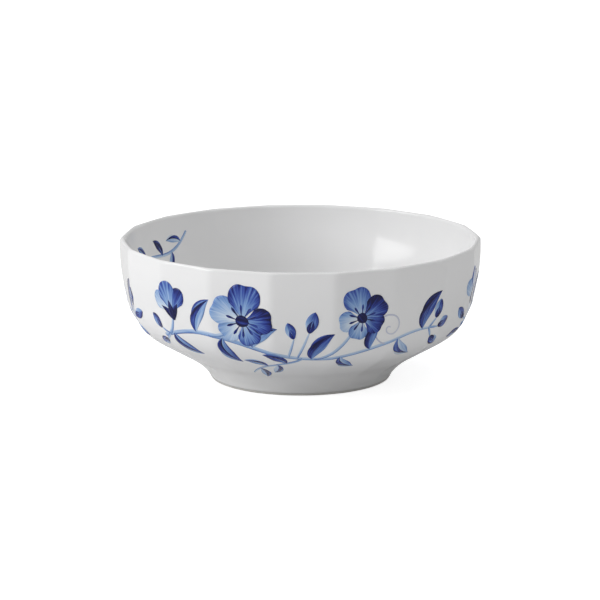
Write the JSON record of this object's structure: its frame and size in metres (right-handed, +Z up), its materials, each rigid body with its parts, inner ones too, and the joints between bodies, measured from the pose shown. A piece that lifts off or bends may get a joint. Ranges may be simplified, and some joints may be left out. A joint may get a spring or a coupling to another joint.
{
  "type": "porcelain serving bowl",
  "caption": "Round white porcelain serving bowl with flat panels round its upright wall, a rounded lip, a luted foot ring and blue brush-painted sprigs.",
  "frame": {"origin": "on the table, under the middle of the bowl", "axes": "+Z up through the middle of the bowl; -Y is the middle of the panel that faces the viewer; +X to the viewer's right"},
  "size_m": [0.2402, 0.2364, 0.094],
  "materials": {
    "porcelain": "fired white porcelain body under the glaze",
    "bare_porcelain": "unglazed porcelain, ground smooth and matt where the bowl stands",
    "clear_glaze": "glossy clear glaze over white porcelain",
    "cobalt_painting": "brushed cobalt blue under the same glossy glaze, dark where it pools and pale where it runs thin"
  },
  "bodies": {
    "root": {"bowl_body": "porcelain", "foot_ring": "bare_porcelain", "glaze_coat": "clear_glaze", "recess_glaze": "clear_glaze"}
  },
  "joints": []
}
